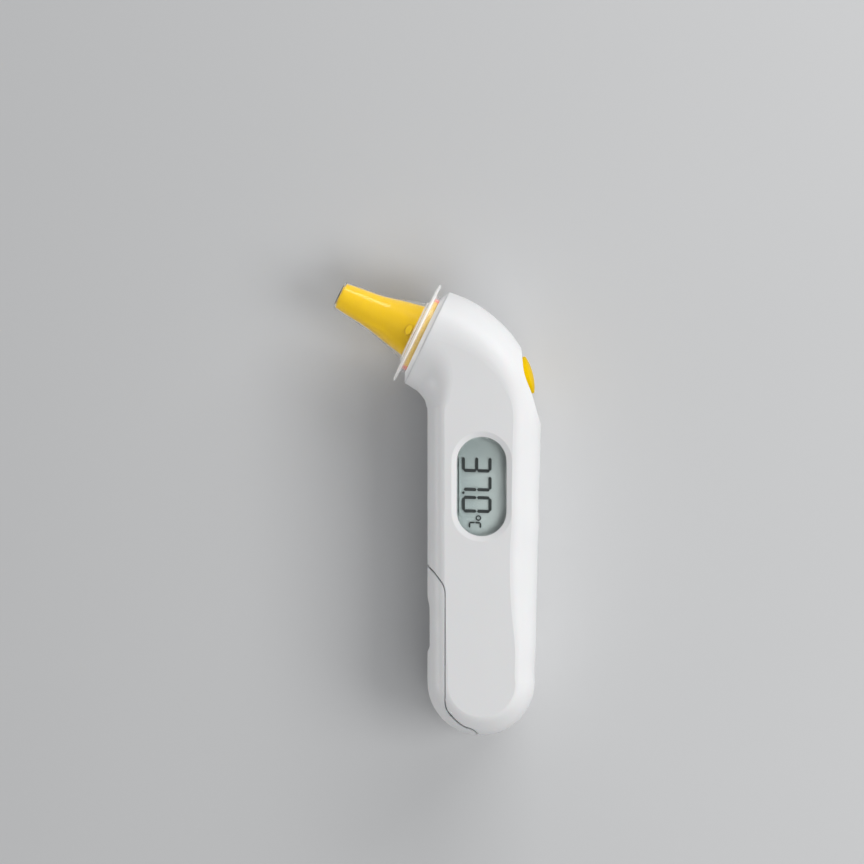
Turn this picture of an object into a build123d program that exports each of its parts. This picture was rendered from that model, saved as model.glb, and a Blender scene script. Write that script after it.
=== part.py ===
"""Digital ear thermometer with a bent handheld casing, modelled in millimetres.

The thermometer lies on its flat rear face at Z = 0 with the display looking up.
+X runs along the handle to its rounded butt, +Y to the start button's side, and the
origin is the centre of the handle's resting face. The probe leaves the head in the
mid-plane, at HEAD_TURN degrees to the handle.
"""

from build123d import *
from math import cos, radians, sin
import os

os.makedirs("parts", exist_ok=True)

# ---------------------------------------------------------------- driving dimensions
THICK = 30.0  # casing thickness, Z
MID = THICK / 2  # parting plane and probe axis height
TRIM = 0.05  # the form is this much thicker on each side until its two side faces are cut flat
WALL = 2.0
FRONT_Y = -15.75  # straight front edge of the handle, where the battery door is
BUTT_X = 33.65  # centre of the rounded butt
BUTT_R = 14.95
NECK_X = -41.35  # where the handle starts to bend
NECK_WIDTH = 31.55
HEAD_TURN = 64.0  # degrees between the handle and the probe
BEND_R = 7.9  # inner radius of the bend
HEAD_STRAIGHT = 1.8  # straight collar after the bend
HEAD_WIDTH = 28.85
HEAD_HALF = 14.4  # half height of the head's end

DOOR_GAP = 0.12
DOOR_EDGE_Y = -10.85  # straight seam of the battery door

WINDOW_AT = (-20.85, -0.72)
WINDOW_LONG, WINDOW_WIDE = 27.6, 13.8
DISH_WIDE, DISH_DEPTH = 1.5, 0.4  # shallow dish round the window

CELL_X, CELL_R, CELL_H = 17.0, 10.0, 3.2
CELL_TOP_Y = -12.3  # the cell's face under the door

BUTTON_X, BUTTON_Y = -51.8, 11.95  # centre of the start button on its facet
BUTTON_LEAN = 14.0  # degrees that the facet leans from the handle's direction
BUTTON_LONG, BUTTON_WIDE = 10.6, 12.4

FLANGE_R, FLANGE_W = 14.9, 3.5  # lens filter flange radius and place along the probe
TIP_W = 28.0  # tip of the lens filter along the probe

PCB_Z, PCB_T = 21.2, 1.0
SCREW_SEAT = 14.6
LABEL_T = 0.2

NOSE_W = 1.7  # the nose ring's front face, measured along the probe from the head's end
RING_W = 0.3  # where the shells end and the nose ring starts
FIT = 0.1  # running clearance
SEAM_DEPTH, SEAM_HALF = 0.35, 0.18  # grooves beside the seams
BUTTON_WALL = 2.2
RECESS_DEPTH = 0.6
RAIL_X, RAIL_Y, RAIL_Z, RAIL_T = (10, 36), -8.9, (2.1, 27.0), 0.9  # the door's sliding rails
SCREWS = [(-43.0, -7.5), (2.0, 7.0), (38.0, 2.0)]


def polar(angle):
    """Unit vector across the casing, from front to back, after turning by angle degrees."""
    return Vector(-sin(radians(angle)), cos(radians(angle)), 0)


def along(angle):
    """Unit vector along the casing towards the head, after turning by angle degrees."""
    return Vector(-cos(radians(angle)), -sin(radians(angle)), 0)


PROBE_DIR = along(HEAD_TURN)
HEAD_ACROSS = polar(HEAD_TURN)
BEND_CENTRE = Vector(NECK_X, FRONT_Y - BEND_R, MID)
HEAD_FRONT = BEND_CENTRE + HEAD_ACROSS * BEND_R + PROBE_DIR * HEAD_STRAIGHT
HEAD_CENTRE = HEAD_FRONT + HEAD_ACROSS * (HEAD_WIDTH / 2)

# Profiles of revolved probe pieces are drawn here: x is the radius, y runs to the tip.
PROBE_SIDE = Plane(origin=HEAD_CENTRE, x_dir=HEAD_ACROSS, z_dir=(0, 0, 1))
PROBE_AXIS = Axis(HEAD_CENTRE, PROBE_DIR)

BUTTON_OUT = Vector(-sin(radians(BUTTON_LEAN)), cos(radians(BUTTON_LEAN)), 0)
BUTTON_ALONG = Vector(cos(radians(BUTTON_LEAN)), sin(radians(BUTTON_LEAN)), 0)


def probe_plane(w):
    """Plane across the probe, w from the head's end, looking to the tip."""
    return Plane(origin=HEAD_CENTRE + PROBE_DIR * w, x_dir=HEAD_ACROSS, z_dir=PROBE_DIR)


def button_plane(height):
    """Plane parallel to the button's facet, height above it; x runs along the handle."""
    centre = Vector(BUTTON_X, BUTTON_Y, MID) + BUTTON_OUT * height
    return Plane(origin=centre, x_dir=BUTTON_ALONG, z_dir=BUTTON_OUT)


def save(part, label):
    """Names a finished piece and writes its STEP file."""
    part.label = label
    export_step(part, f"parts/{label}.step")


# ---------------------------------------------------------------- casing form
ROUND = 0.5523  # a Bezier corner with this handle length is a quarter ellipse


def corner(start, apex, end):
    """Quarter-ellipse edge from start to end, tangent to the lines that meet at apex."""
    a, c, b = Vector(*start), Vector(*apex), Vector(*end)
    Bezier(a, a + (c - a) * ROUND, b + (c - b) * ROUND, b)


def ease(t):
    """Smooth step from 0 to 1."""
    t = min(max(t, 0), 1)
    return t * t * (3 - 2 * t)


def mix(a, b, t):
    return a + (b - a) * t


FRONT_CORNER, BACK_CORNER = (5.3, 9.0), (8.7, 11.0)  # corner size across, and in Z
BUTT_CORNER, HEAD_CORNER = (6.2, 9.5), (14.1, 14.2)


def casing_face(plane, width, front, back, half, inset):
    """Section of the casing, set in by inset: x from the front edge, y from mid height."""
    x0, x1, h = inset, width - inset, half - inset
    (fx, fz), (bx, bz) = ((a - inset, b - inset) for a, b in (front, back))
    with BuildSketch(plane) as face:
        with BuildLine():
            Line((x0 + fx, -h), (x1 - bx, -h))
            corner((x1 - bx, -h), (x1, -h), (x1, -h + bz))
            Line((x1, -h + bz), (x1, h - bz))
            corner((x1, h - bz), (x1, h), (x1 - bx, h))
            Line((x1 - bx, h), (x0 + fx, h))
            corner((x0 + fx, h), (x0, h), (x0, h - fz))
            Line((x0, h - fz), (x0, -h + fz))
            corner((x0, -h + fz), (x0, -h), (x0 + fx, -h))
        make_face()
    return face.sketch.face()


def handle_face(x, inset):
    """Section of the straight handle at x, which tapers to the butt."""
    share = (BUTT_X - x) / (BUTT_X - NECK_X)
    width = mix(2 * BUTT_R, NECK_WIDTH, min(share * 1.08, 1))
    near_butt = ease((x - 2) / (BUTT_X - 4))
    front = [mix(a, b, near_butt) for a, b in zip(FRONT_CORNER, BUTT_CORNER)]
    back = [mix(a, b, near_butt) for a, b in zip(BACK_CORNER, BUTT_CORNER)]
    plane = Plane(origin=(x, FRONT_Y, MID), x_dir=polar(0), z_dir=-along(0))
    return casing_face(plane, width, front, back, MID + TRIM, inset)


def bend_face(angle, inset, straight=0.0):
    """Section of the bend at angle degrees, or of the head's collar after it."""
    share = angle / HEAD_TURN
    origin = BEND_CENTRE + polar(angle) * BEND_R + along(angle) * straight
    width = mix(NECK_WIDTH, HEAD_WIDTH, share**1.4)
    turn = ease(share)
    front = [mix(a, b, turn) for a, b in zip(FRONT_CORNER, HEAD_CORNER)]
    back = [mix(a, b, turn) for a, b in zip(BACK_CORNER, HEAD_CORNER)]
    plane = Plane(origin=origin, x_dir=polar(angle), z_dir=-along(angle))
    return casing_face(plane, width, front, back, mix(MID + TRIM, HEAD_HALF, turn), inset)


HANDLE_STATIONS = [BUTT_X, 26, 18, 10, 2, -6, -14, -22, -30, -36]
BEND_STATIONS = [HEAD_TURN * i / 6 for i in range(7)]


def casing_form(inset, reach=0.0):
    """The casing's outer form set in by inset, running reach past the head's end."""
    faces = [handle_face(x, inset) for x in HANDLE_STATIONS]
    faces += [bend_face(angle, inset) for angle in BEND_STATIONS]
    faces += [bend_face(HEAD_TURN, inset, HEAD_STRAIGHT + reach)]
    radius, h = BUTT_R - inset, MID + TRIM - inset
    cx, cz = (c - inset for c in BUTT_CORNER)
    centre = (BUTT_X, FRONT_Y + BUTT_R, MID)
    with BuildPart() as form:
        loft(faces)
        with BuildSketch(Plane(origin=centre, x_dir=(0, 1, 0), z_dir=(1, 0, 0))):
            with BuildLine():
                Line((0, -h), (radius - cx, -h))
                corner((radius - cx, -h), (radius, -h), (radius, -h + cz))
                Line((radius, -h + cz), (radius, h - cz))
                corner((radius, h - cz), (radius, h), (radius - cx, h))
                Line((radius - cx, h), (0, h))
                Line((0, h), (0, -h))
            make_face()
        revolve(axis=Axis(centre, (0, 0, -1)), revolution_arc=180)
    return form.part


def block(x, y, z, mode=Mode.ADD):
    """Box between pairs of limits."""
    with Locations(((x[0] + x[1]) / 2, (y[0] + y[1]) / 2, (z[0] + z[1]) / 2)):
        Box(x[1] - x[0], y[1] - y[0], z[1] - z[0], mode=mode)


def rod(x, y, radius, z, mode=Mode.ADD):
    """Upright cylinder between the heights z."""
    with Locations((x, y, (z[0] + z[1]) / 2)):
        Cylinder(radius, z[1] - z[0], mode=mode)


def probe_rod(radius, w, mode=Mode.ADD):
    """Cylinder round the probe axis between the places w."""
    with Locations(probe_plane((w[0] + w[1]) / 2)):
        Cylinder(radius, w[1] - w[0], mode=mode)


# ---------------------------------------------------------------- cutters for the casing
outer = casing_form(0, reach=NOSE_W)
skin_core = casing_form(SEAM_DEPTH, reach=NOSE_W + 1)
cavity = casing_form(WALL, reach=NOSE_W + 1)

# Everything on the door's side of the seam, through the whole thickness.
with BuildPart() as door_zone:
    with BuildSketch(Plane.XY.offset(-1)):
        with BuildLine():
            Line((1.1, -18), (1.1, FRONT_Y))
            Spline((1.1, FRONT_Y), (4.6, -12.5), (9.0, DOOR_EDGE_Y), tangents=[(0.7, 1), (1, 0)])
            Line((9.0, DOOR_EDGE_Y), (38.6, DOOR_EDGE_Y))
            Spline(
                (38.6, DOOR_EDGE_Y),
                (43.4, -8.4),
                (45.7, -5.5),
                (46.7, -3.05),
                (47.9, -1.8),
                (49.6, -1.1),
                tangents=[(1, 0), (1, 0.3)],
            )
            Polyline((49.6, -1.1), (54, -1.1), (54, -18), (1.1, -18))
        make_face()
    extrude(amount=THICK + 2)


def shifted_door_zone(gap):
    """The door's zone moved away from the seam by gap."""
    return door_zone.part.moved(Location((gap, -gap, 0)))


with BuildPart() as seam_band:
    add(shifted_door_zone(-SEAM_HALF))
    add(shifted_door_zone(DOOR_GAP + SEAM_HALF), mode=Mode.SUBTRACT)

with BuildPart() as thumb_zone:
    with BuildSketch(Plane.XY.offset(-1)):
        with BuildLine():
            Spline(
                (-60.2, 10.3),
                (-56.9, 10.6),
                (-53.7, 10.85),
                (-50.4, 11.7),
                (-46.7, 13.2),
                (-42.7, 14.4),
                (-37.0, 16.3),
            )
            Polyline((-37.0, 16.3), (-37.0, 22), (-60.2, 22), (-60.2, 10.3))
        make_face()
    extrude(amount=THICK + 2)

with BuildPart() as finger_recess:
    with BuildSketch(Plane.XY.offset(-1)):
        with BuildLine():
            y0, y1 = FRONT_Y, FRONT_Y + RECESS_DEPTH
            Bezier((8.7, y0), (11.5, y0), (11.0, y1), (13.7, y1))
            Line((13.7, y1), (23.8, y1))
            Bezier((23.8, y1), (25.2, y1), (25.0, y0), (26.2, y0))
            Polyline((26.2, y0), (26.2, -18), (8.7, -18), (8.7, y0))
        make_face()
    extrude(amount=THICK + 2)

# Space left inside the casing, kept WALL away from the thumb rest.
with BuildPart() as inner_space:
    add(cavity)
    add(thumb_zone.part.moved(Location(BUTTON_OUT * -BUTTON_WALL)), mode=Mode.SUBTRACT)

with BuildPart() as button_hole:
    with BuildSketch(button_plane(-8)):
        Ellipse(BUTTON_LONG / 2 + FIT, BUTTON_WIDE / 2 + FIT)
    extrude(amount=12)

# The whole casing wall, before it is divided.
with BuildPart() as casing:
    add(outer)
    block((-90, 60), (-40, 30), (0, THICK), mode=Mode.INTERSECT)
    add(thumb_zone.part, mode=Mode.SUBTRACT)
    add(inner_space.part, mode=Mode.SUBTRACT)
    with BuildSketch(PROBE_SIDE):
        with BuildLine():
            Polyline((0, RING_W), (20, RING_W), (20, 12), (0, 12), (0, RING_W))
        make_face()
    revolve(axis=PROBE_AXIS, mode=Mode.SUBTRACT)

# Shallow grooves along the door's seam and round the parting plane.
with BuildPart() as door_groove:
    add(seam_band.part)
    add(skin_core, mode=Mode.SUBTRACT)

with BuildPart() as parting_groove:
    block((-90, 60), (-40, 30), (MID - 0.11, MID + 0.11))
    add(skin_core, mode=Mode.SUBTRACT)

with BuildPart() as shell_wall:
    add(casing.part)
    with BuildSketch(PROBE_SIDE):
        with BuildLine():
            Polyline((10.8, -5.2), (12.9, -5.2), (12.9, -4.25), (10.8, -4.25), (10.8, -5.2))
        make_face()
    revolve(axis=PROBE_AXIS)
    add(door_zone.part, mode=Mode.SUBTRACT)
    add(door_groove.part, mode=Mode.SUBTRACT)
    add(parting_groove.part, mode=Mode.SUBTRACT)
    add(button_hole.part, mode=Mode.SUBTRACT)
    for z in RAIL_Z:
        slot_y, slot_z = (DOOR_EDGE_Y - 3, RAIL_Y + FIT), (z - FIT, z + RAIL_T + FIT)
        block((RAIL_X[0] - 0.5, 52), slot_y, slot_z, mode=Mode.SUBTRACT)

# ---------------------------------------------------------------- shells and door
with BuildPart() as front_shell:
    add(shell_wall.part)
    split(bisect_by=Plane.XY.offset(MID), keep=Keep.TOP)
    for x, y in SCREWS:
        rod(x, y, 2.8, (PCB_Z + PCB_T + 0.05, THICK - 1))
        rod(x, y, 1.0, (PCB_Z, THICK - 2.8), mode=Mode.SUBTRACT)
    block((8, 26), (-8.5, -7.6), (26.05, THICK - 1.5))
    with BuildSketch(Plane.XY.offset(THICK - 4)):
        with Locations(WINDOW_AT):
            SlotOverall(WINDOW_LONG, WINDOW_WIDE)
    extrude(amount=6, mode=Mode.SUBTRACT)
    for z, margin in ((THICK - DISH_DEPTH, 0.1), (THICK, 2 * DISH_WIDE)):
        with BuildSketch(Plane.XY.offset(z)):
            with Locations(WINDOW_AT):
                SlotOverall(WINDOW_LONG + margin, WINDOW_WIDE + margin)
    loft(mode=Mode.SUBTRACT)

with BuildPart() as rear_shell:
    add(shell_wall.part)
    split(bisect_by=Plane.XY.offset(MID), keep=Keep.BOTTOM)
    for x, y in SCREWS:
        rod(x, y, 3.5, (1, PCB_Z - 0.05))
        rod(x, y, 2.4, (-1, SCREW_SEAT), mode=Mode.SUBTRACT)
        rod(x, y, 1.05, (0, PCB_Z + 1), mode=Mode.SUBTRACT)
    block((8, 26), (-8.5, -7.6), (1.5, 3.95))
    block((-34, -8), (-5.5, 5.5), (-1, LABEL_T + 0.05), mode=Mode.SUBTRACT)

with BuildPart() as battery_door:
    add(casing.part)
    add(shifted_door_zone(DOOR_GAP), mode=Mode.INTERSECT)
    add(door_groove.part, mode=Mode.SUBTRACT)
    add(finger_recess.part, mode=Mode.SUBTRACT)
    for z in RAIL_Z:
        block(RAIL_X, (DOOR_EDGE_Y - 2.2, RAIL_Y), (z, z + RAIL_T))
    block((-2.2, 7), (FRONT_Y + WALL + FIT, FRONT_Y + WALL + 1.0), (9, 21))
    block((4.6, 7), (FRONT_Y + 1, FRONT_Y + WALL + 0.5), (9, 21))

save(front_shell.part, "front_shell")
save(rear_shell.part, "rear_shell")
save(battery_door.part, "battery_door")

with BuildPart() as shell_screws:
    for x, y in SCREWS:
        rod(x, y, 2.0, (SCREW_SEAT - 1.6, SCREW_SEAT))
        rod(x, y, 0.95, (SCREW_SEAT - 0.1, THICK - 3.4))
        for dx, dy in ((0.3, 1.2), (1.2, 0.3)):
            slot_z = (SCREW_SEAT - 2, SCREW_SEAT - 0.9)
            block((x - dx, x + dx), (y - dy, y + dy), slot_z, mode=Mode.SUBTRACT)
save(shell_screws.part, "shell_screws")

with BuildPart() as rating_label:
    block((-33.8, -8.2), (-5.3, 5.3), (0.04, LABEL_T + 0.04))
    fillet(rating_label.edges().filter_by(Axis.Z), 1.5)
save(rating_label.part, "rating_label")

# ---------------------------------------------------------------- display
LENS_TOP = THICK - 0.45
LENS_LIP = THICK - WALL - 0.5  # top of the lens's flange

with BuildPart() as display_window:
    with BuildSketch(Plane.XY.offset(LENS_LIP - 0.8)):
        with Locations(WINDOW_AT):
            SlotOverall(WINDOW_LONG + 2.4, WINDOW_WIDE + 2.4)
    extrude(amount=0.8)
    with BuildSketch(Plane.XY.offset(LENS_LIP)):
        with Locations(WINDOW_AT):
            SlotOverall(WINDOW_LONG - 0.24, WINDOW_WIDE - 0.24)
    extrude(amount=LENS_TOP - LENS_LIP)
    fillet(display_window.faces().sort_by(Axis.Z)[-1].edges(), 0.25)
save(display_window.part, "display_window")

with BuildPart() as window_gasket:
    with BuildSketch(Plane.XY.offset(LENS_LIP)):
        with Locations(WINDOW_AT):
            SlotOverall(WINDOW_LONG + 1.3, WINDOW_WIDE + 1.3)
            SlotOverall(WINDOW_LONG + 0.1, WINDOW_WIDE + 0.1, mode=Mode.SUBTRACT)
    extrude(amount=THICK - WALL - LENS_LIP - 0.04)
save(window_gasket.part, "window_gasket")

LCD_X, LCD_Y = (-35.6, -5.4), (-8.8, 7.6)
LCD_Z = (24.3, 26.5)
BOARD_TOP = PCB_Z + PCB_T

with BuildPart() as lcd_panel:
    block(LCD_X, LCD_Y, (LCD_Z[0], LCD_Z[0] + 1.1))
    block(LCD_X, (LCD_Y[0] + 1.8, LCD_Y[1]), (LCD_Z[0] + 1.1, LCD_Z[1]))
save(lcd_panel.part, "lcd_panel")



def around_lcd(margin, z, mode=Mode.ADD):
    """Box round the display panel's outline, margin larger on every side."""
    x = (LCD_X[0] - margin, LCD_X[1] + margin)
    y = (LCD_Y[0] - margin, LCD_Y[1] + margin)
    block(x, y, z, mode=mode)


with BuildPart() as lcd_frame:
    around_lcd(1.3, (BOARD_TOP, LCD_Z[1]))
    around_lcd(FIT, (BOARD_TOP - 1, THICK), mode=Mode.SUBTRACT)
save(lcd_frame.part, "lcd_frame")

with BuildPart() as zebra_connectors:
    for y in (LCD_Y[0] + 0.2, LCD_Y[1] - 1.4):
        block((LCD_X[0] + 1.5, LCD_X[1] - 1.5), (y, y + 1.2), (BOARD_TOP, LCD_Z[0]))
save(zebra_connectors.part, "zebra_connectors")

# ---------------------------------------------------------------- main board
with BuildPart() as main_pcb:
    with BuildSketch(Plane.XY.offset(PCB_Z)):
        with BuildLine():
            Polyline(
                (-56, -8),
                (-52, -12),
                (-1, -12),
                (2.5, -8.5),
                (2.5, -4.4),
                (42, -4.4),
                (42, 4),
                (38, 8),
                (32, 10.5),
                (-40, 10.5),
                (-43, 9),
                (-56, 5.3),
                (-56, -8),
            )
        make_face()
        with Locations(SCREWS):
            Circle(1.2, mode=Mode.SUBTRACT)
    extrude(amount=PCB_T)
save(main_pcb.part, "main_pcb")

CHIP_X, CHIP_Y = -24.0, 0.0
with BuildPart() as microcontroller:
    block((CHIP_X - 4, CHIP_X + 4), (CHIP_Y - 4, CHIP_Y + 4), (PCB_Z - 1.4, PCB_Z - 0.15))
    for i in range(8):
        step = -3.15 + 0.9 * i
        for side in (-1, 1):
            ends = sorted((side * 3.9, side * 5.0))
            legs = (PCB_Z - 0.9, PCB_Z)
            block((CHIP_X + step - 0.2, CHIP_X + step + 0.2), (CHIP_Y + ends[0], CHIP_Y + ends[1]), legs)
            block((CHIP_X + ends[0], CHIP_X + ends[1]), (CHIP_Y + step - 0.2, CHIP_Y + step + 0.2), legs)
save(microcontroller.part, "microcontroller")

SMALL_PARTS = [(-36, -6), (-36, 3), (-31, -8), (-14, -7), (-14, 6), (-9, 0), (-4, 4), (12, 4), (20, 0)]
with BuildPart() as pcb_components:
    for x, y in SMALL_PARTS:
        block((x - 1.1, x + 1.1), (y - 0.65, y + 0.65), (PCB_Z - 0.7, PCB_Z))
    block((26, 33), (-2, 1.5), (PCB_Z - 2.4, PCB_Z))
save(pcb_components.part, "pcb_components")

with BuildPart() as piezo_buzzer:
    rod(-18, -2, 7.5, (WALL + 0.02, WALL + 0.3))
    rod(-18, -2, 5.5, (WALL + 0.3, WALL + 0.6))
save(piezo_buzzer.part, "piezo_buzzer")

# ---------------------------------------------------------------- start button
BUTTON_BASE = -4.0  # inner end of the button's flange
DOME_R, DOME_TOP = 16.0, 1.85

with BuildPart() as start_button:
    with BuildSketch(button_plane(BUTTON_BASE)):
        Ellipse(BUTTON_LONG / 2, BUTTON_WIDE / 2)
    extrude(amount=6.5)
    with BuildSketch(button_plane(BUTTON_BASE)):
        Ellipse(BUTTON_LONG / 2 + 0.9, BUTTON_WIDE / 2 + 0.9)
    extrude(amount=0.8)
    with Locations(button_plane(DOME_TOP - DOME_R)):
        Sphere(DOME_R, mode=Mode.INTERSECT)
    with BuildSketch(button_plane(BUTTON_BASE)):
        Ellipse(BUTTON_LONG / 2 - 1.3, BUTTON_WIDE / 2 - 1.3)
    extrude(amount=3.2, mode=Mode.SUBTRACT)
    fillet(start_button.faces().filter_by(GeomType.SPHERE).edges(), 0.35)
save(start_button.part, "start_button")

with BuildPart() as start_switch_plunger:
    with BuildSketch(button_plane(-6.2)):
        Circle(1.5)
    extrude(amount=5.4)
save(start_switch_plunger.part, "start_switch_plunger")

with BuildPart() as start_switch:
    with BuildSketch(button_plane(-9.4)):
        with Locations((0, PCB_Z - MID - 4.6)):
            Rectangle(6.4, 9.2)
    extrude(amount=3.5)
    with BuildSketch(button_plane(-7.2)):
        Circle(1.6)
    extrude(amount=3, mode=Mode.SUBTRACT)
save(start_switch.part, "start_switch")

# ---------------------------------------------------------------- probe
BAND_R = 10.8  # nozzle band that the lens filter fits over
RING_R = 14.3
SPIGOT_R, SPIGOT_W = 12.0, -1.5  # back of the nose ring, inside the shells
FILTER_WALL = 0.3
LUG_HALF = 5.0  # half height of the retention lugs

with BuildPart() as nose_ring:
    with BuildSketch(PROBE_SIDE):
        with BuildLine():
            Polyline(
                (BAND_R + FIT, SPIGOT_W),
                (SPIGOT_R, SPIGOT_W),
                (SPIGOT_R, RING_W + 0.05),
                (RING_R - 0.15, RING_W + 0.05),
                (RING_R - 0.35, RING_W + 0.3),
                (11.5, NOSE_W),
                (BAND_R + FIT, NOSE_W),
                (BAND_R + FIT, SPIGOT_W),
            )
        make_face()
    revolve(axis=PROBE_AXIS)
save(nose_ring.part, "nose_ring")

DETECTOR_W, DETECTOR_ACROSS = 5.9, -0.45
PIN_LONG, PIN_WIDE = 0.95, 1.55  # half sizes of the filter detector pin, along and across the probe
DETECTOR_AT = HEAD_CENTRE + PROBE_DIR * DETECTOR_W + HEAD_ACROSS * DETECTOR_ACROSS


def detector_plane(z):
    """Level plane over the filter detector, z above the probe axis; y runs across."""
    return Plane(origin=DETECTOR_AT + Vector(0, 0, z), x_dir=PROBE_DIR, z_dir=(0, 0, 1))


def probe_block(r, w, z, mode=Mode.ADD):
    """Box in probe coordinates: r across the head, w along the probe, z from its axis."""
    centre = HEAD_CENTRE + HEAD_ACROSS * ((r[0] + r[1]) / 2) + PROBE_DIR * ((w[0] + w[1]) / 2)
    origin = centre + Vector(0, 0, (z[0] + z[1]) / 2)
    with Locations(Plane(origin=origin, x_dir=HEAD_ACROSS, z_dir=(0, 0, 1))):
        Box(r[1] - r[0], w[1] - w[0], z[1] - z[0], mode=mode)


with BuildPart() as nozzle_body:
    with BuildSketch(PROBE_SIDE):
        with BuildLine():
            Polyline((9.2, -3.6), (12.0, -3.6), (12.0, -1.55), (BAND_R, -1.55), (BAND_R, 2.9))
            Polyline((BAND_R, 2.9), (BAND_R - 0.2, 3.1), (7.85, 3.1))
            Spline((7.85, 3.1), (7.3, 5.85), (6.42, 10.4), (4.95, 16.9), (4.25, 22.8), (3.65, 27.1))
            Polyline((3.65, 27.1), (3.35, 27.45), (2.6, 27.45), (2.6, 24.4))
            Polyline((2.6, 24.4), (2.9, 20.9), (3.5, 16.9), (4.8, 10.4), (5.95, 5.8), (6.7, 1.2))
            Polyline((6.7, 1.2), (9.2, 1.2), (9.2, -3.6))
        make_face()
    revolve(axis=PROBE_AXIS)

with BuildPart() as lug_blocks:
    for side in (-1, 1):
        ends = sorted((side * 9.3, side * 12.0))
        probe_block(ends, (0.2, 2.95), (-LUG_HALF, LUG_HALF))

with BuildPart() as retention_lugs:
    add(nozzle_body.part)
    add(lug_blocks.part, mode=Mode.INTERSECT)
save(retention_lugs.part, "retention_lugs")

with BuildPart() as probe_nozzle:
    add(nozzle_body.part)
    add(lug_blocks.part, mode=Mode.SUBTRACT)
    with BuildSketch(detector_plane(4)):
        Ellipse(PIN_LONG + 0.08, PIN_WIDE + 0.08)
    extrude(amount=6, mode=Mode.SUBTRACT)
save(probe_nozzle.part, "probe_nozzle")

with BuildPart() as nozzle_seal:
    with BuildSketch(PROBE_SIDE):
        with BuildLine():
            Polyline((10.6, -4.2), (11.9, -4.2), (11.9, -3.6), (10.6, -3.6), (10.6, -4.2))
        make_face()
    revolve(axis=PROBE_AXIS)
save(nozzle_seal.part, "nozzle_seal")

FILTER_OUT = [(8.9, 4.5), (6.9, 10.4), (5.35, 16.9), (4.65, 22.8), (4.08, 27.2)]

with BuildPart() as lens_filter:
    with BuildSketch(PROBE_SIDE):
        with BuildLine():
            Polyline((BAND_R + 0.08, NOSE_W + 0.1), (11.6, NOSE_W + 0.1), (11.6, 2.95), (FLANGE_R - 0.4, 3.1))
            ThreePointArc((FLANGE_R - 0.4, 3.1), (FLANGE_R, FLANGE_W), (FLANGE_R - 0.4, 3.9))
            Polyline((FLANGE_R - 0.4, 3.9), (11.2, 4.2), (9.3, 4.3), (8.9, 4.5))
            Spline(*FILTER_OUT)
            ThreePointArc((4.08, 27.2), (3.85, 27.65), (3.4, TIP_W - 0.15))
            Polyline((3.4, TIP_W - 0.15), (0, TIP_W), (0, TIP_W - 0.3))
            Polyline((0, TIP_W - 0.3), (3.4, TIP_W - 0.44), (4.08 - FILTER_WALL, 27.15))
            Spline(*[(r - FILTER_WALL, w) for r, w in reversed([*FILTER_OUT[:-1], (4.08, 27.15)])])
            Polyline((8.9 - FILTER_WALL, 4.5), (8.7, 3.25), (BAND_R + 0.08, 3.25))
            Line((BAND_R + 0.08, 3.25), (BAND_R + 0.08, NOSE_W + 0.1))
        make_face()
    revolve(axis=PROBE_AXIS)
save(lens_filter.part, "lens_filter")

with BuildPart() as filter_detector_pin:
    with BuildSketch(detector_plane(5.0)):
        Ellipse(PIN_LONG, PIN_WIDE)
    extrude(amount=2.6)
    fillet(filter_detector_pin.edges().sort_by(Axis.Z)[-1], 0.3)
    with BuildSketch(detector_plane(5.0)):
        Ellipse(PIN_LONG + 0.35, PIN_WIDE + 0.35)
    extrude(amount=0.25)
save(filter_detector_pin.part, "filter_detector_pin")

HOLDER_R = 4.0
with BuildPart() as sensor_holder:
    probe_rod(HOLDER_R, (-2.0, 7.2))
    probe_rod(2.75, (-3, 8), mode=Mode.SUBTRACT)
save(sensor_holder.part, "sensor_holder")

with BuildPart() as thermopile_sensor:
    probe_rod(2.7, (2.0, 2.5))
    probe_rod(2.35, (2.4, 5.6))
    for r, z in ((1.2, 1.2), (1.2, -1.2), (-1.2, 1.2), (-1.2, -1.2)):
        probe_block((r - 0.2, r + 0.2), (-2.0, 2.1), (z - 0.2, z + 0.2))
save(thermopile_sensor.part, "thermopile_sensor")

with BuildPart() as waveguide:
    probe_rod(1.9, (5.7, 24.5))
    probe_rod(2.5, (24.4, 26.4))
    probe_rod(1.5, (5, 27), mode=Mode.SUBTRACT)
save(waveguide.part, "waveguide")

with BuildPart() as probe_window:
    probe_rod(2.52, (26.4, 27.1))
save(probe_window.part, "probe_window")

with BuildPart() as sensor_board:
    probe_rod(9.0, (-3.0, -2.0))
save(sensor_board.part, "sensor_board")

with BuildPart() as detector_switch:
    probe_block((-2.0, 1.1), (4.7, 7.1), (HOLDER_R, HOLDER_R + 0.5))
save(detector_switch.part, "detector_switch")

RIBBON_AT = HEAD_CENTRE - PROBE_DIR * 3.05
RIBBON_PLANE = Plane(origin=RIBBON_AT, x_dir=-PROBE_DIR, z_dir=PROBE_DIR.cross(Vector(0, 0, 1)))
with BuildPart() as sensor_ribbon:
    with BuildSketch(RIBBON_PLANE):
        with BuildLine():
            upper = PCB_Z - MID
            Spline((0, 0), (4, 1), (9, upper - 1.5), (14.5, upper), tangents=[(1, 0), (1, 0)])
            Line((14.5, upper), (14.5, upper - 0.25))
            back = [(14.5, upper - 0.25), (9, upper - 1.8), (4, 0.7), (0, -0.25)]
            Spline(*back, tangents=[(-1, 0), (-1, 0)])
            Line((0, -0.25), (0, 0))
        make_face()
    extrude(amount=2.5, both=True)
save(sensor_ribbon.part, "sensor_ribbon")

# ---------------------------------------------------------------- battery
TRAY_X, TRAY_Z = (4.6, 29.4), (4.0, 26.0)
TRAY_TOP, TRAY_BACK = CELL_TOP_Y + 0.4, CELL_TOP_Y + CELL_H + 1.5
CELL_BACK = CELL_TOP_Y + CELL_H


def cell_disc(radius, y, mode=Mode.ADD):
    """Disc that faces the door between the places y."""
    with Locations(Plane(origin=(CELL_X, (y[0] + y[1]) / 2, MID), z_dir=(0, 1, 0))):
        Cylinder(radius, y[1] - y[0], mode=mode)


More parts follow.
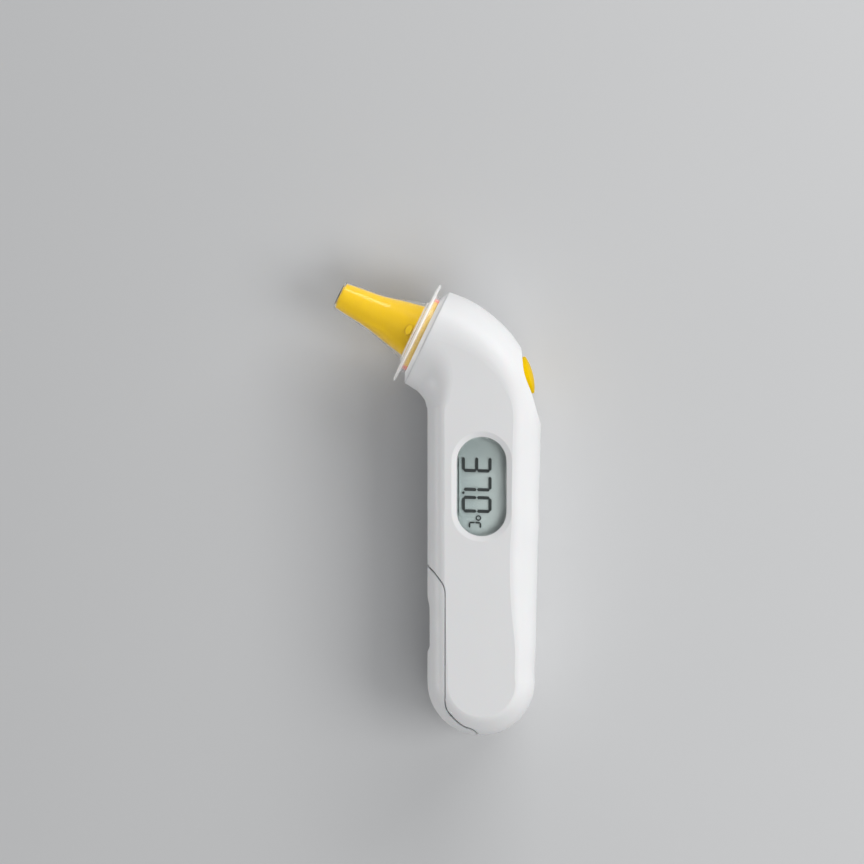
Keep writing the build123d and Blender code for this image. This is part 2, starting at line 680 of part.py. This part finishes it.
with BuildPart() as coin_cell:
    cell_disc(CELL_R, (CELL_TOP_Y, CELL_BACK - 0.25))
    fillet(coin_cell.edges().group_by(Axis.Y)[0], 0.4)
    cell_disc(CELL_R - 1.3, (CELL_BACK - 0.3, CELL_BACK))
save(coin_cell.part, "coin_cell")

with BuildPart() as battery_tray:
    block(TRAY_X, (TRAY_TOP, TRAY_BACK), TRAY_Z)
    fillet(battery_tray.edges().filter_by(Axis.Y), 3.0)
    cell_disc(CELL_R + 0.2, (TRAY_TOP - 1, CELL_BACK + 0.05), mode=Mode.SUBTRACT)
    block((11.5, 22.5), (CELL_BACK - 1, TRAY_BACK + 1), (12.8, 17.2), mode=Mode.SUBTRACT)
    block((26.7, 28.0), (TRAY_TOP - 1, TRAY_BACK + 1), (11.6, 18.4), mode=Mode.SUBTRACT)
save(battery_tray.part, "battery_tray")

with BuildPart() as battery_contact_negative:
    with Locations(Plane(origin=(17, CELL_BACK + 0.3, MID), z_dir=(0, 1, 0))):
        Cylinder(1.2, 0.6)
    block((12, 22), (CELL_BACK + 0.4, CELL_BACK + 0.7), (13, 17))
    block((12, 14), (CELL_BACK + 0.4, -3.6), (14, 14.4))
    block((12, 14), (-4.0, -3.6), (14, PCB_Z))
save(battery_contact_negative.part, "battery_contact_negative")

with BuildPart() as battery_contact_positive:
    block((27.0, 27.35), (CELL_TOP_Y + 0.8, -3.6), (12, 18))
    block((27.0, 27.35), (-4.0, -3.2), (17, PCB_Z))
save(battery_contact_positive.part, "battery_contact_positive")
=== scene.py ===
"""Looks of the digital ear thermometer: materials, display digits, light and camera."""

import math

import bmesh
import bpy
from mathutils import Matrix, Vector


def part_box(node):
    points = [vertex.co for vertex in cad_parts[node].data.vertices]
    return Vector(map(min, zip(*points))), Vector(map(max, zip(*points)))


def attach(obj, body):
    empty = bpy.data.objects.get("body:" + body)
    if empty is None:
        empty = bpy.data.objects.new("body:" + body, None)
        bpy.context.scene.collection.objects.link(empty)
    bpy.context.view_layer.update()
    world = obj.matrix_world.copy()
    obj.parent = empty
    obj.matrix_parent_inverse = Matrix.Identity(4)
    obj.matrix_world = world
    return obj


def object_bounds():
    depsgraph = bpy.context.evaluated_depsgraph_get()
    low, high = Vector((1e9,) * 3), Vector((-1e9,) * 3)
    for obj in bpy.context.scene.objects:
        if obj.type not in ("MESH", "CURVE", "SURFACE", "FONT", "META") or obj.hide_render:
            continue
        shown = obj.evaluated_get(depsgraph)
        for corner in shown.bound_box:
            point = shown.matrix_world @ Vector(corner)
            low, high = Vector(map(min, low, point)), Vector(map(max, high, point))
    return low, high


MM = 0.001
HEAD_TURN = math.radians(64)  # angle between the handle and the probe
PROBE = Vector((-math.cos(HEAD_TURN), -math.sin(HEAD_TURN), 0))  # the way the probe points

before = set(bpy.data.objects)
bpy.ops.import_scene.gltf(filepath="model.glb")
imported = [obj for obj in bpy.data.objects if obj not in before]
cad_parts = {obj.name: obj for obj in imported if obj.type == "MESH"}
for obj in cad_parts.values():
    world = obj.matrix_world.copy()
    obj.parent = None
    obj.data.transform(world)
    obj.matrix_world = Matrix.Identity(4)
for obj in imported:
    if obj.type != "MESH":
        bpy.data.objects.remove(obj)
cad_low, cad_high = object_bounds()
scene = bpy.context.scene
scene.view_settings.view_transform = "Standard"


# ---------------------------------------------------------------- materials
DRIFT = 14 * MM  # size of the slow changes of tone in a moulding
CLOUD = 3 * MM  # size of the patches of uneven gloss in a moulding
SCRATCH = 0.08 * MM  # width of the fine scratches in metal
PATCH = 4 * MM  # size of the changes of tone in metal
SMEAR = 2.5 * MM  # size of the waves in clear plastic
LCD_GRAIN = 0.05 * MM
INK_GRAIN = 0.06 * MM
RELIEF = 0.002 * MM  # depth of the finest surface grain


class Shader:
    """A node material under construction; its textures read the object's frame in metres."""

    def __init__(self, name, **inputs):
        self.material = bpy.data.materials.new(name)
        self.material.use_nodes = True
        self.tree = self.material.node_tree
        self.bsdf = self.tree.nodes["Principled BSDF"]
        self.out = self.tree.nodes["Material Output"]
        self.coords = self.node("ShaderNodeTexCoord").outputs["Object"]
        for socket, value in inputs.items():
            self.bsdf.inputs[socket.replace("_", " ")].default_value = value

    def node(self, kind, **inputs):
        made = self.tree.nodes.new(kind)
        for socket, value in inputs.items():
            self.feed(made.inputs[socket.replace("_", " ")], value)
        return made

    def feed(self, socket, value):
        if isinstance(value, bpy.types.NodeSocket):
            self.tree.links.new(value, socket)
        else:
            socket.default_value = value

    def noise(self, size, detail=3.0, roughness=0.5):
        """Noise whose features are size metres across, from 0 to 1."""
        settings = {"Vector": self.coords, "Scale": 1 / size, "Detail": detail, "Roughness": roughness}
        return self.node("ShaderNodeTexNoise", **settings).outputs["Fac"]

    def span(self, value, low, high, start=0.0, end=1.0):
        """value mapped from the range start..end to low..high, and kept inside it."""
        made = self.node("ShaderNodeMapRange")
        for index, part in enumerate((value, start, end, low, high)):
            self.feed(made.inputs[index], part)
        return made.outputs[0]

    def blend(self, factor, a, b):
        """Colour between a and b."""
        made = self.node("ShaderNodeMix")
        made.data_type = "RGBA"
        self.feed(made.inputs[0], factor)
        self.feed(made.inputs[6], a)
        self.feed(made.inputs[7], b)
        return made.outputs[2]

    def bump(self, height, depth, strength=1.0):
        """Surface relief of depth metres."""
        made = self.node("ShaderNodeBump", Height=height, Distance=depth, Strength=strength)
        return made.outputs["Normal"]

    def set(self, socket, value):
        self.feed(self.bsdf.inputs[socket], value)


def moulded(name, colour, roughness, tint=0.03, grain=0.12 * MM, sheen=0.5, scatter=0.0):
    """Injection-moulded plastic: faint tone drift, fine spark-eroded grain, uneven gloss."""
    s = Shader(name, Specular_IOR_Level=sheen, Subsurface_Weight=scatter, Subsurface_Scale=2 * MM)
    drift = s.noise(DRIFT, detail=2)
    darker = tuple(c * (1 - tint) for c in colour)
    s.set("Base Color", s.blend(drift, (*colour, 1), (*darker, 1)))
    fine = s.noise(grain, detail=4, roughness=0.6)
    cloudy = s.noise(CLOUD)
    s.set("Roughness", s.span(s.blend(0.5, fine, cloudy), roughness * 0.8, roughness * 1.2, 0.3, 0.7))
    s.set("Normal", s.bump(fine, RELIEF))
    return s.material


def metal(name, colour, roughness, brushed=0.0):
    """Metal with fine scratches along X when brushed."""
    s = Shader(name, Metallic=1.0)
    stretch = s.node("ShaderNodeMapping", Vector=s.coords)
    stretch.inputs["Scale"].default_value = (1 - 0.94 * brushed, 1, 1)
    scratches = s.node("ShaderNodeTexNoise", Vector=stretch.outputs[0], Scale=1 / SCRATCH, Detail=3)
    lines = scratches.outputs["Fac"]
    darker = tuple(c * 0.86 for c in colour)
    s.set("Base Color", s.blend(s.noise(PATCH), (*colour, 1), (*darker, 1)))
    s.set("Roughness", s.span(lines, roughness * 0.7, roughness * 1.35, 0.3, 0.7))
    s.set("Normal", s.bump(lines, RELIEF))
    return s.material


def clear(name, colour, roughness, ior, shade):
    """Clear plastic; shadow rays pass it and lose the part shade, so what is behind stays lit."""
    s = Shader(name, Base_Color=(*colour, 1), IOR=ior, Transmission_Weight=1.0)
    smear = s.noise(SMEAR)
    s.set("Roughness", s.span(smear, roughness * 0.6, roughness * 1.5, 0.3, 0.7))
    s.set("Normal", s.bump(smear, 0.01 * MM, 0.35))
    dimmed = tuple(c * (1 - shade) for c in colour)
    through = s.node("ShaderNodeBsdfTransparent", Color=(*dimmed, 1))
    rays = s.node("ShaderNodeLightPath")
    either = s.node("ShaderNodeMixShader", Fac=rays.outputs["Is Shadow Ray"])
    s.tree.links.new(s.bsdf.outputs[0], either.inputs[1])
    s.tree.links.new(through.outputs[0], either.inputs[2])
    s.tree.links.new(either.outputs[0], s.out.inputs["Surface"])
    return s


FLANGE_STARTS = (1.0 * MM, 1.3 * MM)  # from the filter's foot along the probe: skirt turns to flange
FLANGE_ENDS = (2.2 * MM, 3.0 * MM)  # flange turns to cone


def lens_filter_plastic():
    """Clear cone and skirt, with a thicker flange that looks whitish."""
    s = clear("filter_clear", (0.985, 0.985, 0.982), 0.06, 1.22, 0.02)
    foot = min(v.co.dot(PROBE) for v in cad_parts["lens_filter"].data.vertices)
    place = s.node("ShaderNodeVectorMath")
    place.operation = "DOT_PRODUCT"
    s.feed(place.inputs[0], s.coords)
    s.feed(place.inputs[1], PROBE)
    reach = place.outputs["Value"]
    starts = [foot + step for step in FLANGE_STARTS]
    ends = [foot + step for step in FLANGE_ENDS]
    clearest = s.node("ShaderNodeMath")
    clearest.operation = "MAXIMUM"
    s.feed(clearest.inputs[0], s.span(reach, 0.9, 0.4, *starts))
    s.feed(clearest.inputs[1], s.span(reach, 0.0, 0.99, *ends))
    s.set("Transmission Weight", clearest.outputs[0])
    return s.material


DOOR_SIDE_TONE = (0.235, 0.278, 0.278, 1)
# painted light: the button's side tone is lighter to offset the window wall's cast shadow
BUTTON_SIDE_PAINTED_LIGHT_TONE = (0.55, 0.585, 0.575, 1)
# painted shade: the head end tone and its fade darken the display towards the head end
HEAD_END_PAINTED_SHADE_TONE = (0.21, 0.243, 0.24, 1)
GRAIN_TONE = (0.4, 0.46, 0.45, 1)
HEAD_END_SHADE_FADE = 12 * MM


def display_back():
    """Grey-green display backing with a fine grain; painted light makes it lighter towards the
    button's side, and painted shade darkens its head end.
    """
    low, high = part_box("lcd_panel")
    s = Shader("display_back", Specular_IOR_Level=0.25)
    place = s.node("ShaderNodeSeparateXYZ", Vector=s.coords)
    # painted light: the backing brightens towards the button's side, against the recess shadow
    lit_side_mask = s.span(place.outputs["Y"], 0, 1, low.y, high.y)
    # painted shade: darker towards the head end of the display
    head_end_shade = s.span(place.outputs["X"], 0.6, 0, low.x, low.x + HEAD_END_SHADE_FADE)
    tone = s.blend(lit_side_mask, DOOR_SIDE_TONE, BUTTON_SIDE_PAINTED_LIGHT_TONE)
    tone = s.blend(head_end_shade, tone, HEAD_END_PAINTED_SHADE_TONE)
    grain = s.noise(LCD_GRAIN, detail=2)
    s.set("Base Color", s.blend(s.span(grain, 0, 0.12), tone, GRAIN_TONE))
    s.set("Roughness", s.span(grain, 0.45, 0.6))
    s.set("Normal", s.bump(grain, RELIEF))
    return s.material


WHITE = (0.80, 0.80, 0.803)
YELLOW = (0.70, 0.44, 0.002)
BUTTON = (0.80, 0.52, 0.002)
ORANGE = (0.72, 0.09, 0.012)
BOARD = (0.012, 0.09, 0.03)
BLACK = (0.012, 0.012, 0.013)

FINISHES = {
    "front_shell": moulded("shell_front_white", WHITE, 0.42, sheen=0.35, scatter=0.06),
    "rear_shell": moulded("shell_rear_white", WHITE, 0.42, sheen=0.35, scatter=0.06),
    "battery_door": moulded("door_white", (0.79, 0.792, 0.795), 0.43, sheen=0.35, scatter=0.06),
    # painted shade: the white nose ring is given a darker grey, as shade in its recess at the head's
    # end
    "nose_ring": moulded("nose_ring_white_painted_shade", (0.66, 0.67, 0.68), 0.35),
    "start_button": moulded("button_yellow", BUTTON, 0.42, tint=0.04, sheen=0.03),
    "start_switch_plunger": moulded("plunger_white", (0.7, 0.7, 0.68), 0.5),
    "probe_nozzle": moulded("nozzle_yellow", YELLOW, 0.3, tint=0.08, sheen=0.06),
    "filter_detector_pin": moulded("pin_yellow", BUTTON, 0.4, tint=0.05, sheen=0.2),
    "retention_lugs": moulded("lug_orange", ORANGE, 0.45),
    "nozzle_seal": moulded("seal_orange", ORANGE, 0.6),
    "lens_filter": lens_filter_plastic(),
    "display_window": clear("window_clear", (0.95, 0.97, 0.965), 0.03, 1.49, 0.05).material,
    "window_gasket": moulded("gasket_grey", (0.16, 0.18, 0.18), 0.8),
    "lcd_panel": display_back(),
    "lcd_frame": moulded("frame_grey", (0.2, 0.22, 0.22), 0.55),
    "zebra_connectors": moulded("zebra_grey", (0.12, 0.11, 0.12), 0.6),
    "main_pcb": moulded("board_green", BOARD, 0.35, tint=0.2, grain=0.4 * MM),
    "sensor_board": moulded("sensor_board_green", BOARD, 0.35, tint=0.2, grain=0.4 * MM),
    "microcontroller": moulded("chip_black", BLACK, 0.5),
    "pcb_components": moulded("component_tan", (0.3, 0.2, 0.1), 0.5),
    "start_switch": moulded("switch_black", BLACK, 0.5),
    "detector_switch": moulded("detector_black", BLACK, 0.5),
    "sensor_ribbon": moulded("ribbon_amber", (0.5, 0.16, 0.02), 0.35),
    "battery_tray": moulded("tray_white", (0.6, 0.61, 0.62), 0.5),
    "rating_label": moulded("label_film", (0.55, 0.56, 0.57), 0.42, grain=0.3 * MM),
    "shell_screws": metal("screw_steel", (0.5, 0.5, 0.51), 0.3),
    "piezo_buzzer": metal("buzzer_brass", (0.72, 0.5, 0.2), 0.3, brushed=1),
    "sensor_holder": metal("holder_aluminium", (0.7, 0.7, 0.71), 0.35),
    "thermopile_sensor": metal("sensor_can", (0.6, 0.57, 0.48), 0.25),
    "waveguide": metal("waveguide_gold", (0.85, 0.6, 0.22), 0.2),
    "probe_window": metal("sensor_window_dark", (0.08, 0.085, 0.1), 0.08),
    "coin_cell": metal("cell_steel", (0.62, 0.62, 0.63), 0.28, brushed=1),
    "battery_contact_negative": metal("contact_nickel", (0.66, 0.64, 0.6), 0.25, brushed=1),
    "battery_contact_positive": metal("contact_nickel_positive", (0.66, 0.64, 0.6), 0.25, brushed=1),
}


def finish(piece, material):
    """Gives an object one material."""
    piece.data.materials.clear()
    piece.data.materials.append(material)


for node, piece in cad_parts.items():
    finish(piece, FINISHES[node])


# ---------------------------------------------------------------- display digits
DIGIT_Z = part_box("lcd_panel")[1].z + 0.22 * MM
DIGIT_THICK = 0.03 * MM
DIGIT_WIDE, DIGIT_HIGH, STROKE = 4.65 * MM, 8.26 * MM, 0.88 * MM
SLANT = 0.03  # lean of the characters, as a share of their height
TIP, GAP = 0.42, 0.05  # length of a segment's tip and the gap before it, as shares of the stroke
SEGMENTS = {"3": "abcdg", "7": "abc", "0": "abcdef", "C": "adef"}

# The reading's origin is measured from the window's centre, and the rest from that origin.
READING_AT = (-8.7 * MM, -5.5 * MM)
DIGITS = (("3", 0), ("7", 5.25 * MM), ("0", 11.25 * MM))
POINT_AT, POINT_R = (10.44 * MM, 0.42 * MM), 0.37 * MM
DEGREE_AT, DEGREE_OUT, DEGREE_IN = (17.45 * MM, 4.6 * MM), 0.78 * MM, 0.42 * MM
UNIT_AT = (18.45 * MM, 1.9 * MM)
UNIT_WIDE, UNIT_HIGH, UNIT_STROKE = 1.95 * MM, 3.5 * MM, 0.46 * MM


def plate(bm, outline):
    """Thin plate with the given outline, just above the display panel."""
    face = bm.faces.new([bm.verts.new((x, y, DIGIT_Z)) for x, y in outline])
    grown = bmesh.ops.extrude_face_region(bm, geom=[face])
    top = [v for v in grown["geom"] if isinstance(v, bmesh.types.BMVert)]
    bmesh.ops.translate(bm, verts=top, vec=(0, 0, DIGIT_THICK))


def bar(start, end, width):
    """Outline of a segment from start to end: a bar with mitred tips."""
    a, b = Vector(start), Vector(end)
    way = (b - a).normalized()
    side = Vector((-way.y, way.x)) * width / 2
    tip = way * width * TIP
    gap = way * width * GAP
    a, b = a + gap, b - gap
    return [a, a + tip + side, b - tip + side, b, b - tip - side, a + tip - side]


def draw_digit(bm, character, corner, wide, high, stroke):
    """Seven-segment character whose lower left corner is at corner."""
    w, h, m = wide - stroke, high - stroke, (high - stroke) / 2
    ends = {
        "a": ((0, h), (w, h)),
        "b": ((w, h), (w, m)),
        "c": ((w, m), (w, 0)),
        "d": ((0, 0), (w, 0)),
        "e": ((0, m), (0, 0)),
        "f": ((0, h), (0, m)),
        "g": ((0, m), (w, m)),
    }
    base = corner + Vector((stroke, stroke)) / 2
    for key in SEGMENTS[character]:
        outline = bar(*ends[key], stroke)
        plate(bm, [base + Vector((p.x + p.y * SLANT, p.y)) for p in outline])


def draw_ring(bm, centre, outer, inner=0):
    """Ring round centre, or a dot when inner is 0."""
    count = 40
    turns = [2 * math.pi * i / count for i in range(count)]
    rim = [Vector((math.cos(turn), math.sin(turn))) for turn in turns]
    if not inner:
        plate(bm, [centre + p * outer for p in rim])
        return
    for p, q in zip(rim, rim[1:] + rim[:1]):
        plate(bm, [centre + p * inner, centre + p * outer, centre + q * outer, centre + q * inner])


def display_ink():
    """Dark liquid-crystal segments."""
    s = Shader("display_ink")
    speckle = s.noise(INK_GRAIN, detail=2)
    s.set("Base Color", s.blend(speckle, (0.011, 0.016, 0.016, 1), (0.018, 0.024, 0.024, 1)))
    s.set("Roughness", s.span(speckle, 0.4, 0.55))
    return s.material


def make_digits():
    """The reading, laid out along the display window with its foot towards the door."""
    low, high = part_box("display_window")
    origin = ((low + high) / 2).to_2d() + Vector(READING_AT)
    bm = bmesh.new()
    for character, start in DIGITS:
        draw_digit(bm, character, origin + Vector((start, 0)), DIGIT_WIDE, DIGIT_HIGH, STROKE)
    draw_ring(bm, origin + Vector(POINT_AT), POINT_R)
    draw_ring(bm, origin + Vector(DEGREE_AT), DEGREE_OUT, DEGREE_IN)
    draw_digit(bm, "C", origin + Vector(UNIT_AT), UNIT_WIDE, UNIT_HIGH, UNIT_STROKE)
    bmesh.ops.recalc_face_normals(bm, faces=bm.faces)
    mesh = bpy.data.meshes.new("display_digits")
    bm.to_mesh(mesh)
    bm.free()
    digits = bpy.data.objects.new("display_digits", mesh)
    scene.collection.objects.link(digits)
    finish(digits, display_ink())
    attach(digits, "housing")


make_digits()


# ---------------------------------------------------------------- floor, light and camera
FLOOR_SIZE = 8.0
CLOUDING = 0.3  # size of the floor's faint changes of tone
SKY, SKY_STRENGTH = (0.95, 0.97, 1, 1), 0.2
LIGHT_AIM = Vector((-0.01, 0, 0))
LIGHTS = (
    # name, place, width, height, power
    ("key", (0.15, 0.75, 0.75), 0.6, 0.6, 5.0),  # on the button's side
    ("top", (0.55, 0.3, 1.0), 0.6, 0.6, 3.1),  # above the butt
    ("rim", (-0.8, 0.38, 0.38), 0.9, 0.36, 5.4),  # beyond the head
    ("fill", (0.1, -0.95, 0.03), 0.4, 0.08, 2.8),  # low on the door's side
)
CAMERA_DISTANCE = 1.5
VIEW_WIDE = 1.9125  # width of the picture, as a share of the thermometer's length
AIM_SHARE = (0.3311, 0.4758, 0.5)  # point looked at, as shares of the thermometer's box


def make_floor():
    """Plain pale floor under the resting face."""
    bpy.ops.mesh.primitive_plane_add(size=FLOOR_SIZE, location=(0, 0, 0))
    floor = bpy.context.object
    floor.name = "floor"
    s = Shader("floor_pale", Roughness=0.6)
    s.set("Base Color", s.blend(s.noise(CLOUDING), (0.60, 0.605, 0.61, 1), (0.62, 0.622, 0.625, 1)))
    finish(floor, s.material)


def make_light(name, place, wide, high, power):
    """Soft light that faces the handle, wide along its level side and high up its slope."""
    lamp = bpy.data.lights.new(name, "AREA")
    lamp.shape = "RECTANGLE"
    lamp.size = wide
    lamp.size_y = high
    lamp.energy = power
    holder = bpy.data.objects.new(name, lamp)
    holder.location = place
    holder.rotation_euler = (LIGHT_AIM - Vector(place)).to_track_quat("-Z", "Y").to_euler()
    scene.collection.objects.link(holder)


def make_world():
    """Even pale surroundings."""
    world = bpy.data.worlds.new("studio")
    world.use_nodes = True
    background = world.node_tree.nodes["Background"]
    background.inputs["Color"].default_value = SKY
    background.inputs["Strength"].default_value = SKY_STRENGTH
    scene.world = world


def make_camera():
    """Long lens straight above the display, with the head towards the top of the picture."""
    size = cad_high - cad_low
    target = cad_low + Vector(share * length for share, length in zip(AIM_SHARE, size))
    lens = bpy.data.cameras.new("camera")
    lens.lens = lens.sensor_width * CAMERA_DISTANCE / (VIEW_WIDE * size.x)
    camera = bpy.data.objects.new("camera", lens)
    right, up, back = Vector((0, 1, 0)), Vector((-1, 0, 0)), Vector((0, 0, 1))
    turn = Matrix((right, up, back)).transposed().to_4x4()
    camera.matrix_world = Matrix.Translation(target + back * CAMERA_DISTANCE) @ turn
    scene.collection.objects.link(camera)
    scene.camera = camera


make_floor()
make_world()
for light in LIGHTS:
    make_light(*light)
make_camera()
